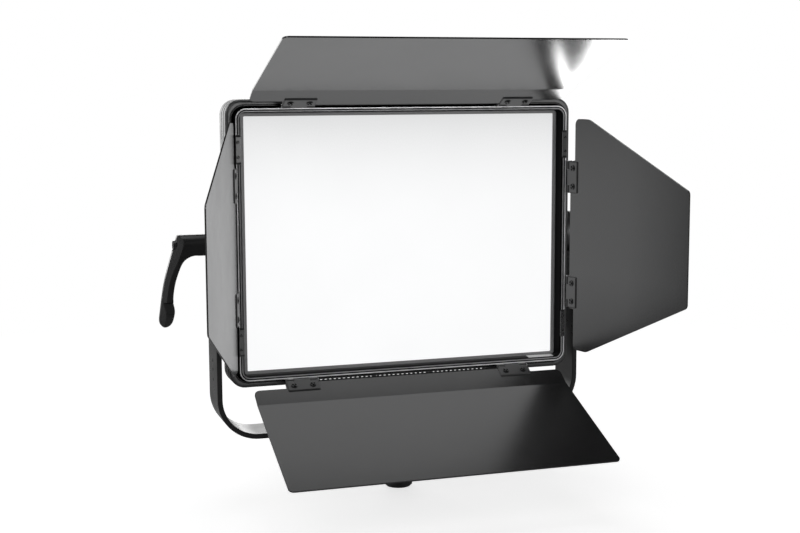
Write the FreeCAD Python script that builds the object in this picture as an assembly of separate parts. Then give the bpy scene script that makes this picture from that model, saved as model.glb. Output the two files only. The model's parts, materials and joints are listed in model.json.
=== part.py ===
import FreeCAD, Part
import math
import os

from FreeCAD import Matrix, Placement, Rotation
from FreeCAD import Vector as V

# Soft-light LED panel on a yoke, with four barn doors.
#
# Frame: millimetres, +Z up, the light faces -Y, +X to the right as seen from
# the front.  The origin is on the stand spigot's axis, at the shoulder that
# rests on the stand when the spigot is dropped into its receiver.
#
# Most parts are written around the tilt axis: x along it, y back, z up.  The
# spigot parts are written from the yoke's underside.  Both are lifted into
# the frame above when they are saved.

# ----------------------------------------------------------------------------
# driving dimensions (HW and HH are half width and half height, R a radius)
# ----------------------------------------------------------------------------
TILT_Z = 191.0                       # tilt axis above the yoke's underside
FIT = 0.03                           # gap between touching parts

# lit area
OPEN_HW, OPEN_HH = 160.0, 123.0

# housing
HOUS_HW, HOUS_HH, HOUS_R = 177.5, 138.9, 15.0
HOUS_Y0, HOUS_Y1 = -24.0, 6.0        # straight rim, front to back
TAPER_Y = 28.0                       # where the taper meets the rear box
REAR_HW, REAR_HH, REAR_R = 160.0, 121.0, 12.0
REAR_Y = 70.0                        # back edge of the housing
WALL = 3.0
RIM_ROUND = 3.2                      # round-over of the rim's front edge
RIM_WALL = 6.5
FRONT_WALL = 2.5

# barn door frame
RING_HW, RING_HH, RING_R = 169.8, 130.6, 10.0
RING_W = 3.3                         # width of the front edge
RING_Y0, RING_Y1 = -32.9, -24.05

# yoke
YOKE_OUT, YOKE_T = 190.0, 5.0        # arm's outer face, bar thickness
YOKE_IN = YOKE_OUT - YOKE_T
YOKE_D = 43.3                        # front to back
YOKE_R = 41.0
YOKE_TOP = 21.65

# stand spigot
SPIGOT_R, SPIGOT_L = 14.3, 66.0
NECK_R, NECK_L = 21.0, 26.0
SOCKET_R, SOCKET_L = 8.1, 52.0
LOCK_Z = -19.5                       # height of the socket's lock screw

# tilt pivots
PIVOT_R, PIVOT_BORE = 6.0, 6.05      # shoulder and yoke bore
WASHER_BORE = 6.2
THREAD_R, THREAD_HOLE = 5.0, 5.05
BOSS_X = HOUS_HW + 4.5               # outer face of the housing's pivot bosses
THREAD_END = 172.0                   # inner end of both pivot threads
HEX_R = 4.6                          # corner radius of the large hex sockets


# ----------------------------------------------------------------------------
# helpers
# ----------------------------------------------------------------------------
NORMAL = {"xy": V(0, 0, 1), "xz": V(0, 1, 0), "yz": V(1, 0, 0)}


def box(x0, x1, y0, y1, z0, z1):
    return Part.makeBox(x1 - x0, y1 - y0, z1 - z0, V(x0, y0, z0))


def cylx(r, x0, x1, y=0.0, z=0.0):
    return Part.makeCylinder(r, x1 - x0, V(x0, y, z), V(1, 0, 0))


def cyly(r, y0, y1, x=0.0, z=0.0):
    return Part.makeCylinder(r, y1 - y0, V(x, y0, z), V(0, 1, 0))


def cylz(r, z0, z1, x=0.0, y=0.0):
    return Part.makeCylinder(r, z1 - z0, V(x, y, z0), V(0, 0, 1))


def side_cylx(r, near, far, side):
    """cylinder along x between two distances out, on the left (-1) or right (1)"""
    return cylx(r, *sorted((side * near, side * far)))


def row(count, pitch):
    """evenly spaced positions centred on zero"""
    return [(i - (count - 1) / 2) * pitch for i in range(count)]


def on_plane(u, v, plane, level):
    if plane == "xy":
        return V(u, v, level)
    if plane == "xz":
        return V(u, level, v)
    return V(level, u, v)


def corner_arc(before, corner, after):
    """start, middle and end of the arc that rounds a (u, v, radius) corner"""
    point = V(corner[0], corner[1], 0)
    radius = corner[2]
    if radius <= 0:
        return point, None, point
    back = (V(before[0], before[1], 0) - point).normalize()
    onward = (V(after[0], after[1], 0) - point).normalize()
    half = back.getAngle(onward) / 2
    reach = radius / math.tan(half)
    inward = (back + onward).normalize()
    middle = point + inward * (radius / math.sin(half) - radius)
    return point + back * reach, middle, point + onward * reach


def rounded_wire(corners, plane, level):
    """closed wire through (u, v, radius) corners, each rounded by its radius"""
    def lift(point):
        return on_plane(point.x, point.y, plane, level)

    count = len(corners)
    arcs = [corner_arc(corners[i - 1], corners[i], corners[(i + 1) % count])
            for i in range(count)]
    edges = []
    for i, (start, middle, end) in enumerate(arcs):
        if middle is not None:
            edges.append(Part.Arc(lift(start), lift(middle), lift(end)).toShape())
        following = arcs[(i + 1) % count][0]
        if (following - end).Length > 1e-6:
            edges.append(Part.makeLine(lift(end), lift(following)))
    return Part.Wire(edges)


def prism(corners, plane, start, end):
    face = Part.Face(rounded_wire(corners, plane, start))
    return face.extrude(NORMAL[plane] * (end - start))


def hex_prism(radius, depth, level, plane="xy", u=0.0, v=0.0):
    corners = []
    for degrees in range(0, 361, 60):
        angle = math.radians(degrees)
        corners.append(on_plane(u + radius * math.cos(angle), v + radius * math.sin(angle),
                                plane, level))
    return Part.Face(Part.makePolygon(corners)).extrude(NORMAL[plane] * depth)


def rect(hw, hh, r, cx=0.0, cz=0.0):
    return [(cx - hw, cz - hh, r), (cx + hw, cz - hh, r),
            (cx + hw, cz + hh, r), (cx - hw, cz + hh, r)]


def slab(hw, hh, r, y0, y1, cx=0.0, cz=0.0):
    """rounded rectangle across x and z, run along y"""
    return prism(rect(hw, hh, r, cx, cz), "xz", y0, y1)


def slab_ring(hw, hh, r, inner_hw, inner_hh, inner_r, y0, y1):
    return slab(hw, hh, r, y0, y1).cut(slab(inner_hw, inner_hh, inner_r, y0 - 1, y1 + 1))


def slab_loft(first, second, y0, y1):
    """loft between two (hw, hh, r) rounded rectangles"""
    wires = [rounded_wire(rect(*first), "xz", y0), rounded_wire(rect(*second), "xz", y1)]
    return Part.makeLoft(wires, True, True)


def join(shapes):
    result = shapes[0]
    for shape in shapes[1:]:
        result = result.fuse(shape)
    return result


def fuse(shapes):
    return join(shapes).removeSplitter()


def cut(shape, tools):
    return shape.cut(Part.makeCompound(tools))


def fillet_where(shape, radius, test):
    """round the edges the test picks"""
    edges = [edge for edge in shape.Edges if test(edge)]
    if not edges:
        return shape
    # guards against a fillet the kernel can't build: the shape then stays sharp
    try:
        rounded = shape.makeFillet(radius, edges)
        if rounded.isValid() and rounded.Volume > 0.5 * shape.Volume:
            return rounded
    except Exception:
        pass
    return shape


def mid(edge):
    return edge.valueAt((edge.FirstParameter + edge.LastParameter) / 2)


def on_y(edge, y, tol=0.01):
    bounds = edge.BoundBox
    return abs(bounds.YMin - y) < tol and abs(bounds.YMax - y) < tol


def place(shape, origin, ex, ey, ez):
    """move a shape drawn in (x, y, z) so that its axes lie along ex, ey, ez"""
    matrix = Matrix(ex[0], ey[0], ez[0], origin[0],
                    ex[1], ey[1], ez[1], origin[1],
                    ex[2], ey[2], ez[2], origin[2],
                    0, 0, 0, 1)
    moved = shape.copy()
    moved.Placement = Placement(matrix).multiply(moved.Placement)
    return moved


def aim(origin, direction):
    """placement that takes the z axis to a direction from an origin"""
    return Placement(V(*origin), Rotation(V(0, 0, 1), V(*direction)))


def turned(profile, origin=(0, 0, 0), direction=(0, 0, 1)):
    """solid of revolution from (radius, distance) corners along a direction"""
    points = [V(radius, 0, distance) for radius, distance in profile]
    face = Part.Face(Part.makePolygon(points + [points[0]]))
    solid = face.revolve(V(0, 0, 0), V(0, 0, 1), 360)
    solid.Placement = aim(origin, direction)
    return solid


def pan_screw(shank_r, head_r, length, head_h, origin, direction):
    """low pan-head screw: the head's seat is at origin, the shank runs against direction"""
    screw = turned([(0, -length), (shank_r, -length), (shank_r, 0), (head_r, 0),
                    (head_r, head_h * 0.45), (head_r * 0.62, head_h), (0, head_h)],
                   origin, direction)
    lobes = []
    for i in range(3):
        angle = math.radians(120.0 * i + 90)
        lobes.append(cylz(head_r * 0.35, head_h * 0.20, head_h * 1.35,
                          head_r * 0.53 * math.cos(angle), head_r * 0.53 * math.sin(angle)))
    recess = join(lobes)
    recess.Placement = aim(origin, direction).multiply(recess.Placement)
    return screw.cut(recess)


# ----------------------------------------------------------------------------
# yoke, drawn around the tilt axis
# ----------------------------------------------------------------------------
MARKS_Z = (-114.5, -123.0, -133.0)   # small round marks on the left arm


def yoke_bar():
    under = -TILT_Z
    half = YOKE_D / 2
    bend_r = YOKE_R - YOKE_T
    outside = prism([(-YOKE_OUT, under, YOKE_R), (YOKE_OUT, under, YOKE_R),
                     (YOKE_OUT, 40, 0), (-YOKE_OUT, 40, 0)], "xz", -half, half)
    inside = prism([(-YOKE_IN, under + YOKE_T, bend_r), (YOKE_IN, under + YOKE_T, bend_r),
                    (YOKE_IN, 60, 0), (-YOKE_IN, 60, 0)], "xz", -YOKE_D, YOKE_D)
    yoke = outside.cut(inside)
    # the arms' upper ends are round in side view
    side_view = prism([(-half, under - 5, 0), (half, under - 5, 0),
                       (half, YOKE_TOP, half - 0.02), (-half, YOKE_TOP, half - 0.02)],
                      "yz", -YOKE_OUT - 5, YOKE_OUT + 5)
    yoke = yoke.common(side_view)
    yoke = fillet_where(yoke, 0.8, lambda e: on_y(e, -half) or on_y(e, half))
    tools = [cylx(PIVOT_BORE, -YOKE_OUT - 5, YOKE_OUT + 5),
             cylz(THREAD_HOLE, under - 5, under + 12)]
    tools += [cylx(1.6, -YOKE_OUT - 1, -YOKE_OUT + 0.9, 0.0, z) for z in MARKS_Z]
    return cut(yoke, tools)


# ----------------------------------------------------------------------------
# stand spigot, drawn from the yoke's underside
# ----------------------------------------------------------------------------
LOCK_Y = SOCKET_R + 0.3              # inner end of the lock screw
TEE_Y = LOCK_Y + 22.5                # axis of its cross bar
TEE_HALF = 20.0


def stand_spigot():
    """neck and straight pin, with a stud socket and threaded holes"""
    spigot = turned([(0, 0), (NECK_R - 1.0, 0), (NECK_R, -1.0), (NECK_R, -NECK_L + 1.5),
                     (NECK_R - 1.5, -NECK_L), (SPIGOT_R, -NECK_L), (SPIGOT_R, -SPIGOT_L + 2.0),
                     (SPIGOT_R - 2.0, -SPIGOT_L), (0, -SPIGOT_L)])
    return cut(spigot, [cylz(SOCKET_R, -SPIGOT_L - 1, -SPIGOT_L + SOCKET_L),
                        cylz(THREAD_HOLE, -11.5, 1.0),
                        cyly(4.05, 5.0, 25.0, 0.0, LOCK_Z)])


def spigot_bolt():
    """bolt down through the yoke into the spigot, with a hex socket in its head"""
    top = YOKE_T
    bolt = turned([(0, -10.8), (THREAD_R, -10.8), (THREAD_R, top + 0.02), (12.0, top + 0.02),
                   (12.0, top + 1.4), (9.0, top + 1.8), (9.0, top + 6.4), (8.0, top + 7.4),
                   (0, top + 7.4)])
    return bolt.cut(hex_prism(HEX_R, 10, top + 3.0))


def spigot_lock_screw():
    """tee screw that locks a 16 mm stud in the socket"""
    screw = turned([(0, 0), (3.0, 0), (4.0, 1.0), (4.0, 13.2), (6.2, 13.2), (6.2, 17.0),
                    (4.6, 18.5), (4.6, 26.0), (3.6, 27.0), (0, 27.0)],
                   (0, LOCK_Y, LOCK_Z), (0, 1, 0))
    bar = cylx(2.6, -TEE_HALF, TEE_HALF, TEE_Y, LOCK_Z)
    tips = [Part.makeSphere(3.4, V(x, TEE_Y, LOCK_Z)) for x in (-TEE_HALF, TEE_HALF)]
    return fuse([screw, bar] + tips)


# ----------------------------------------------------------------------------
# tilt pivots: bolt on the right, clamping lever on the left
# ----------------------------------------------------------------------------
DISC_R = 21.0
STUD_OUT = -208.8                    # outer end of the lever's splined insert
SPLINE_R, SPLINES = 7.0, 24
HUB_R = 10.25
ARM_Z = -4.0                         # where the lever starts to narrow in front view
FACET_X = -2.8                       # shift of the facets from the lever's outer edge

# lever seen along y, (x, z): outer edge going down, then round the tip and back up
LEVER_OUTER = [
    (-222.4, 9.2), (-223.9, 4.5), (-226.6, -4.0), (-230.6, -17.0),
    (-235.2, -34.0), (-238.4, -52.0), (-240.4, -66.0), (-240.9, -72.5)]
LEVER_RETURN = [
    (-239.6, -76.3), (-236.4, -78.3), (-233.0, -77.4), (-229.6, -73.6), (-227.8, -68.0),
    (-226.8, -61.5), (-227.3, -57.6), (-227.9, -53.0), (-227.4, -45.0), (-225.2, -34.0),
    (-221.4, -22.5), (-217.6, -15.0), (-211.5, -10.6), (-203.5, -9.6)]
# half of the lever seen along x, (y, z) from the hub down to the tip
LEVER_HALF = [
    (HUB_R, ARM_Z), (9.6, -14.0), (7.6, -28.0), (6.9, -42.0), (7.3, -56.0),
    (7.9, -66.0), (7.3, -73.0), (4.8, -78.0), (0.0, -79.8)]


def friction_discs():
    return [side_cylx(DISC_R, BOSS_X + FIT, YOKE_IN - FIT, side).cut(
        side_cylx(WASHER_BORE, BOSS_X - 1, YOKE_IN + 1, side)) for side in (1, -1)]


def pivot_washer():
    return cylx(13.0, YOKE_OUT + FIT, YOKE_OUT + 1.5).cut(
        cylx(WASHER_BORE, YOKE_OUT - 1, YOKE_OUT + 3))


def pivot_bolt():
    shoulder = BOSS_X + 0.2 - THREAD_END
    face = YOKE_OUT - THREAD_END     # yoke's outer face
    bolt = turned([(0, 0), (THREAD_R - 0.8, 0), (THREAD_R, 0.8), (THREAD_R, shoulder),
                   (PIVOT_R, shoulder), (PIVOT_R, face + 1.55), (10.0, face + 1.55),
                   (10.0, face + 5.6), (8.6, face + 7.0), (0, face + 7.0)],
                  (THREAD_END, 0, 0), (1, 0, 0))
    return bolt.cut(hex_prism(HEX_R, 10, YOKE_OUT + 3.4, "yz"))


def lever_base_washer():
    return turned([(WASHER_BORE, 0), (19.0, 0), (19.0, 1.3), (18.2, 2.07), (WASHER_BORE, 2.07)],
                  (-YOKE_OUT - FIT, 0, 0), (-1, 0, 0))


def lever_stud():
    """threaded stud with a splined outer end and a screw hole"""
    shoulder = -BOSS_X - 0.2
    stud = fuse([cylx(THREAD_R, shoulder, -THREAD_END), cylx(PIVOT_R, -192.3, shoulder),
                 cylx(SPLINE_R, STUD_OUT, -192.2)])
    grooves = []
    for i in range(SPLINES):
        angle = math.radians(i * 360.0 / SPLINES)
        grooves.append(cylx(0.55, STUD_OUT - 1, -193.2,
                            SPLINE_R * math.cos(angle), SPLINE_R * math.sin(angle)))
    return cut(stud, grooves + [cylx(2.55, STUD_OUT - 1, -198.0)])


def outline_face(plane, level, *runs):
    """face inside ("line", points) and ("curve", points) runs, each starting where
    the last ended"""
    edges = []
    for kind, points in runs:
        points = [on_plane(u, v, plane, level) for u, v in points]
        if kind == "line":
            edges += [Part.makeLine(a, b) for a, b in zip(points, points[1:])]
        else:
            curve = Part.BSplineCurve()
            curve.interpolate(points)
            edges.append(curve.toShape())
    return Part.Face(Part.Wire(edges))


def lever_blank():
    """lever's side view crossed with its front view"""
    side_view = outline_face(
        "xz", -20.0,
        ("line", [(-192.4, -9.6), (-192.4, 10.0), (-221.6, 10.0), LEVER_OUTER[0]]),
        ("curve", LEVER_OUTER + LEVER_RETURN),
        ("line", [LEVER_RETURN[-1], (-192.4, -9.6)]))
    mirrored = [(-y, z) for y, z in reversed(LEVER_HALF)]
    front_view = outline_face(
        "yz", -260.0,
        ("line", [(-HUB_R, 14.0), (HUB_R, 14.0), (HUB_R, ARM_Z)]),
        ("curve", LEVER_HALF[:-1] + mirrored),
        ("line", [(-HUB_R, ARM_Z), (-HUB_R, 14.0)]))
    lever = side_view.extrude(V(0, 40, 0)).common(front_view.extrude(V(70, 0, 0)))
    # the hub is round, and the arm carries on from it
    return lever.common(fuse([cylx(HUB_R, -260, -190), box(-260, -190, -20, 20, -100, 0.0)]))


def facet_keep(side):
    """what a facet along one outer edge leaves, with all of the other half"""
    edge = [(x + FACET_X, z) for x, z in LEVER_OUTER]
    face = outline_face(
        "xz", 0.0,
        ("line", [(-170.0, -85.0), (-170.0, 15.0), (-220.6 + FACET_X, 15.0), edge[0]]),
        ("curve", edge),
        ("line", [edge[-1], (edge[-1][0], -85.0), (-170.0, -85.0)]))
    face.translate(V(-5.0, -side * 5.0, 0))
    y0, y1 = sorted((-side * 20.0, 0.0))
    return face.extrude(V(30.0, side * 30.0, 0)).fuse(box(-260, -170, y0, y1, -85, 15))


def tilt_lever():
    lever = lever_blank()
    for side in (-1, 1):
        lever = lever.common(facet_keep(side))
    # sloping thumb pads near the tip
    for side in (-1, 1):
        lever = lever.cut(prism([(side * 4.0, -54.0, 0), (side * 9.6, -69.4, 0),
                                 (side * 14.0, -69.4, 0), (side * 14.0, -54.0, 0)],
                                "yz", -260, -190))
    # soften the long edges on the side towards the yoke
    lever = fillet_where(lever, 1.2, lambda e: e.Length > 12 and mid(e).z < -12
                         and mid(e).x > -229.5 and abs(mid(e).y) > 4)
    # insert bore, screw hole and spring pocket
    return cut(lever, [cylx(7.1, -209.0, -190.0), cylx(3.2, -220.0, -208.0),
                       cylx(5.3, -250.0, -213.0)])


def lever_screw():
    screw = fuse([cylx(2.5, -224.0, -200.0), cylx(4.6, -226.3, -223.6)])
    return screw.cut(hex_prism(2.3, 1.8, -226.4, "yz"))


def lever_spring():
    pitch, height, radius = 1.7, 5.1, 4.0
    half_w, half_h = 0.45, 0.4       # half sizes of the wire's section
    section = Part.makePolygon([
        V(radius + u, 0, w) for u, w in ((-half_w, -half_h), (half_w, -half_h),
                                         (half_w, half_h), (-half_w, half_h),
                                         (-half_w, -half_h))])
    path = Part.Wire(Part.makeHelix(pitch, height, radius))
    spring = path.makePipeShell([section], True, True)
    spring.Placement = aim((-223.0, 0, 0), (1, 0, 0))
    return spring


# ----------------------------------------------------------------------------
# lamp head casing
# ----------------------------------------------------------------------------
GROOVES_Y = ((-14.6, -12.6), (-5.6, -3.6))       # decorative grooves round the rim
GROOVE_DEPTH = 1.3
BOSS_R = 22.0
POSTS = [(x, z) for x in (-151.0, 151.0) for z in (-112.0, 112.0)] \
    + [(0.0, 113.5), (0.0, -113.5)]              # rear cover screws, (x, z)
COVER_T = 3.5
COVER_CUT = (REAR_Y - 2, REAR_Y + 6)             # y span of cuts through the cover

# places on the rear cover, (x, z)
FAN_X, FAN_Z = 72.0, 52.0
DISPLAY = (0.0, -44.0)
KNOBS = [(-36.0, -88.0), (0.0, -88.0), (36.0, -88.0)]
BUTTONS = [(50.0, -32.0), (50.0, -44.0), (50.0, -56.0)]
INLET, SWITCH = (-122.0, -86.0), (-82.0, -86.0)
DATA = [(-122.0, -42.0), (-88.0, -42.0)]
SERVICE = (84.0, -98.0)
EYE_Z = 92.0                                     # safety eye


def air_slots():
    slots = []
    # top and bottom of the rear box
    for x in row(24, 10.0):
        slots.append(box(x - 2.0, x + 2.0, 32.0, 52.0, REAR_HH - 6, REAR_HH + 3))
        slots.append(box(x - 2.0, x + 2.0, 32.0, 52.0, -REAR_HH - 3, -REAR_HH + 6))
    # both sides of the rear box
    for z in row(13, 10.0):
        slots.append(box(REAR_HW - 6, REAR_HW + 3, 32.0, 52.0, z - 2.0, z + 2.0))
        slots.append(box(-REAR_HW - 3, -REAR_HW + 6, 32.0, 52.0, z - 2.0, z + 2.0))
    # small slots through the front of the rim, opening into windows in its underside
    for x in row(38, 4.7):
        slots.append(box(x - 1.55, x + 1.55, HOUS_Y0 - 1, HOUS_Y0 + 4, -136.5, -135.3))
    for x in row(3, 60.0):
        slots.append(box(x - 29.2, x + 29.2, HOUS_Y0 + 3.4, HOUS_Y0 + 21.5, -140.0, -132.0))
    return slots


def main_housing():
    rim = (HOUS_HW, HOUS_HH, HOUS_R)
    rear = (REAR_HW, REAR_HH, REAR_R)
    body = fuse([slab(*rim, HOUS_Y0, HOUS_Y1), slab_loft(rim, rear, HOUS_Y1, TAPER_Y),
                 slab(*rear, TAPER_Y, REAR_Y)])
    body = fillet_where(body, RIM_ROUND, lambda e: on_y(e, HOUS_Y0))
    rim = (HOUS_HW - RIM_WALL, HOUS_HH - RIM_WALL, 9.0)
    rear = (REAR_HW - WALL, REAR_HH - WALL, 9.0)
    cavity = fuse([slab(*rim, HOUS_Y0 + FRONT_WALL, HOUS_Y1 - 1),
                   slab_loft(rim, rear, HOUS_Y1 - 1, TAPER_Y),
                   slab(*rear, TAPER_Y, REAR_Y + 5)])
    body = body.cut(cavity).cut(slab(166.6, 127.4, 6.0, HOUS_Y0 - 5, HOUS_Y0 + 5))
    depth = GROOVE_DEPTH
    for y0, y1 in GROOVES_Y:
        body = body.cut(slab_ring(HOUS_HW + 5, HOUS_HH + 5, HOUS_R + 5,
                                  HOUS_HW - depth, HOUS_HH - depth, HOUS_R - depth, y0, y1))
    # groove in the front face, just outside the barn door frame
    body = body.cut(slab(RING_HW + 4.0, RING_HH + 4.0, RING_R + 4.0, HOUS_Y0 - 1, HOUS_Y0 + 1.2)
                    .cut(slab(RING_HW + 2.7, RING_HH + 2.7, RING_R + 2.7,
                              HOUS_Y0 - 2, HOUS_Y0 + 2)))
    # pivot bosses
    for side in (-1, 1):
        root = side_cylx(BOSS_R, 163.0, 172.0, side).common(box(-200, 200, 9.0, 40, -40, 40))
        body = body.fuse(side_cylx(BOSS_R, 171.2, BOSS_X, side)).fuse(root)
    body = cut(body, [cylx(THREAD_HOLE, 160, 190), cylx(THREAD_HOLE, -190, -160)])
    # posts for the rear cover's screws
    for x, z in POSTS:
        body = body.fuse(cyly(5.0, 56.0, REAR_Y, x, z))
    body = cut(body, [cyly(1.5, 58.0, REAR_Y + 1, x, z) for x, z in POSTS])
    return cut(body, air_slots())


def fan_grille(fan_x):
    """rows of slots that fill a circle, each split at the fan's centre line"""
    slots = []
    for z in row(9, 8.0):
        reach = math.sqrt(38.0 ** 2 - z ** 2)
        for side in (-1, 1):
            x0, x1 = sorted((side * 1.5, side * reach))
            low, high = FAN_Z + z - 2.2, FAN_Z + z + 2.2
            slots.append(prism([(fan_x + x0, low, 1.8), (fan_x + x1, low, 1.8),
                                (fan_x + x1, high, 1.8), (fan_x + x0, high, 1.8)],
                               "xz", *COVER_CUT))
    return slots


def rear_cover():
    cover = slab(REAR_HW, REAR_HH, REAR_R, REAR_Y + 0.05, REAR_Y + COVER_T)
    cover = fillet_where(cover, 1.6, lambda e: on_y(e, REAR_Y + COVER_T))
    tools = fan_grille(-FAN_X) + fan_grille(FAN_X)
    tools.append(slab(31.0, 17.0, 2.0, *COVER_CUT, *DISPLAY))
    tools += [cyly(3.6, *COVER_CUT, x, z) for x, z in KNOBS]
    tools += [slab(5.2, 3.2, 1.0, *COVER_CUT, x, z) for x, z in BUTTONS]
    tools.append(slab(14.2, 11.2, 2.0, *COVER_CUT, *INLET))
    tools.append(slab(7.2, 10.2, 1.0, *COVER_CUT, *SWITCH))
    tools += [cyly(12.1, *COVER_CUT, x, z) for x, z in DATA]
    tools.append(slab(4.8, 2.1, 1.8, *COVER_CUT, *SERVICE))
    tools += [turned([(0, 0), (1.6, 0), (1.6, 1.7), (3.3, 3.6), (0, 3.6)],
                     (x, REAR_Y, z), (0, 1, 0)) for x, z in POSTS]
    tools.append(cyly(2.1, *COVER_CUT, 0.0, EYE_Z))
    return cut(cover, tools)


def rear_cover_screws():
    """countersunk screws with hex sockets"""
    shank_r, head_r, length, head_h = 1.4, 3.0, 11.5, 1.6
    screws = []
    for x, z in POSTS:
        origin = (x, REAR_Y + 3.45, z)
        screw = turned([(0, -length), (shank_r, -length), (shank_r, -head_h), (head_r, 0),
                        (0, 0)], origin, (0, 1, 0))
        socket = hex_prism(head_r * 0.42, head_h * 2, -head_h * 0.55)
        socket.Placement = aim(origin, (0, 1, 0))
        screws.append(screw.cut(socket))
    return screws


# ----------------------------------------------------------------------------
# optics: a stack from the housing's front wall backwards
# ----------------------------------------------------------------------------
BEZEL_Y = HOUS_Y0 + FRONT_WALL       # inner face of the front wall
DIFF_Y, DIFF_T = BEZEL_Y + 1.45, 3.0
GASKET_Y, GASKET_T = DIFF_Y + DIFF_T + 0.05, 1.5
CHAMBER_Y = GASKET_Y + GASKET_T + 0.05


def front_bezel():
    opening = (162.9, 125.9, 3.0)
    lip = slab_ring(169.5, 130.9, 7.5, OPEN_HW, OPEN_HH, 1.0, BEZEL_Y + 0.05, BEZEL_Y + 1.4)
    wall = slab_ring(166.3, 127.1, 6.5, *opening, BEZEL_Y - 9.0, BEZEL_Y + 0.6)
    # the wall's inner face leans out towards the front
    lean = slab_loft(opening, (165.7, 126.7, 5.0), 0.0, 9.1)
    lean.Placement = Placement(V(0, BEZEL_Y, 0), Rotation(V(0, 0, 1), 180))
    bezel = lip.fuse(wall).cut(lean).cut(slab(*opening, BEZEL_Y - 0.02, BEZEL_Y + 0.03))
    return bezel.removeSplitter()


def diffuser_panel():
    return slab(168.4, 129.8, 5.0, DIFF_Y, DIFF_Y + DIFF_T)


def diffuser_gasket():
    return slab_ring(168.4, 129.8, 5.0, 161.5, 124.0, 3.0, GASKET_Y, GASKET_Y + GASKET_T)


def light_chamber():
    return slab_ring(166.0, 127.4, 4.0, 164.6, 126.0, 3.0, CHAMBER_Y, 8.0)


def led_board():
    return slab(158.0, 120.0, 4.0, 8.05, 9.65)


def led_emitters():
    half = 2.8
    return [box(x - half, x + half, 7.0, 8.0, z - half, z + half)
            for x in row(12, 26.5) for z in row(9, 27.0)]


def heatsink():
    fins = [box(x - 1.0, x + 1.0, 13.0, 37.0, -108.0, 108.0) for x in row(30, 10.0)]
    return fuse([slab(157.0, 118.5, 4.0, 9.7, 13.7)] + fins)


# ----------------------------------------------------------------------------
# electronics and rear controls
# ----------------------------------------------------------------------------
# blocks on the driver board: x, z, half width, half height, thickness
DRIVER_BLOCKS = (
    (30, -35, 12, 9, 7), (62, -35, 10, 10, 9), (95, -36, 14, 9, 7), (126, -36, 10, 12, 9),
    (30, -72, 11, 11, 10), (66, -78, 18, 8, 6), (108, -76, 12, 12, 10), (76, -98, 40, 4, 5))
KNOB_R, KNOB_L, KNOB_FLUTES = 9.0, 12.5, 28
KNOB_Y = 73.9                        # front face of the knobs' skirts
FLANGE_Y = 73.55                     # front of the flanges outside the cover


def power_supply():
    return fuse([slab(66.0, 47.0, 2.0, 42.0, 55.5, -80.0, -61.0),
                 box(-146.0, -138.0, 42.0, 50.0, -14.0, -8.0)])


def driver_board():
    shapes = [box(6.0, 146.0, 42.0, 43.6, -108.0, -14.0)]
    for x, z, hw, hh, thick in DRIVER_BLOCKS:
        shapes.append(box(x - hw, x + hw, 43.5, 43.6 + thick, z - hh, z + hh))
    return fuse(shapes)


def control_board():
    shapes = [box(-50.0, 78.0, 59.4, 61.0, -106.0, -22.0),
              box(-29.0, 29.0, 60.9, 66.0, DISPLAY[1] - 15.0, DISPLAY[1] + 15.0)]
    shapes += [box(x - 3.0, x + 3.0, 60.9, 65.6, z - 2.6, z + 2.6) for x, z in BUTTONS]
    shapes.append(box(58.0, 72.0, 60.9, 64.0, -84.0, -68.0))
    return fuse(shapes)


def display_window():
    return fuse([slab(30.8, 16.8, 1.9, 68.6, 72.6, *DISPLAY),
                 slab(33.0, 19.0, 2.0, 66.6, 69.6, *DISPLAY)])


def encoder_bodies():
    """rotary encoders behind the knobs"""
    return [fuse([box(x - 6, x + 6, 61.05, 67.0, z - 6, z + 6),
                  cyly(3.5, 66.5, 72.8, x, z)]).cut(cyly(2.55, 63.0, 80.0, x, z))
            for x, z in KNOBS]


def knob(x, z):
    """fluted knob on its shaft, with a shallow dish in its end"""
    r, grip_r = KNOB_R, KNOB_R - 0.9
    body = fuse([cyly(2.5, 63.5, 76.0, x, z),
                 turned([(0, 0), (r, 0), (r, 0.8), (grip_r, 1.8), (grip_r, KNOB_L - 1.6),
                         (r - 2.2, KNOB_L), (0, KNOB_L)], (x, KNOB_Y, z), (0, 1, 0))])
    tools = []
    for i in range(KNOB_FLUTES):
        angle = 2 * math.pi * i / KNOB_FLUTES
        tools.append(cyly(0.55, 75.9, 74.0 + KNOB_L + 3,
                          x + grip_r * math.cos(angle), z + grip_r * math.sin(angle)))
    tools.append(turned([(0, 0), (r - 4.0, 0), (r - 3.2, 0.9), (0, 0.9)],
                        (x, KNOB_Y + KNOB_L - 0.6, z), (0, 1, 0)))
    return cut(body, tools)


def menu_button(x, z):
    button = fuse([slab(5.0, 3.0, 0.9, 68.2, 75.0, x, z), slab(6.4, 4.4, 1.0, 67.4, 68.4, x, z)])
    return fillet_where(button, 0.5, lambda e: on_y(e, 75.0))


def power_inlet():
    inlet = fuse([slab(14.0, 11.0, 1.8, 57.0, 73.5, *INLET),
                  slab(16.5, 13.5, 2.5, FLANGE_Y, 76.0, *INLET)])
    inlet = inlet.cut(slab(11.5, 8.0, 2.5, 61.0, 80.0, *INLET))
    pins = []
    for dx, dz in ((-6.5, -2.0), (0.0, 2.0), (6.5, -2.0)):
        x, z = INLET[0] + dx, INLET[1] + dz
        pins.append(box(x - 1.0, x + 1.0, 60.5, 73.0, z - 2.0, z + 2.0))
    return fuse([inlet] + pins)


def switch_housing():
    x, z = SWITCH
    housing = fuse([slab(7.0, 10.0, 0.8, 58.0, 73.5, x, z),
                    slab(9.0, 12.0, 1.5, FLANGE_Y, 75.0, x, z)])
    housing = housing.cut(slab(5.6, 8.6, 0.5, 61.0, 80.0, x, z))
    return housing.cut(cylx(1.05, x - 6.6, x + 6.6, 71.0, z))


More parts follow.
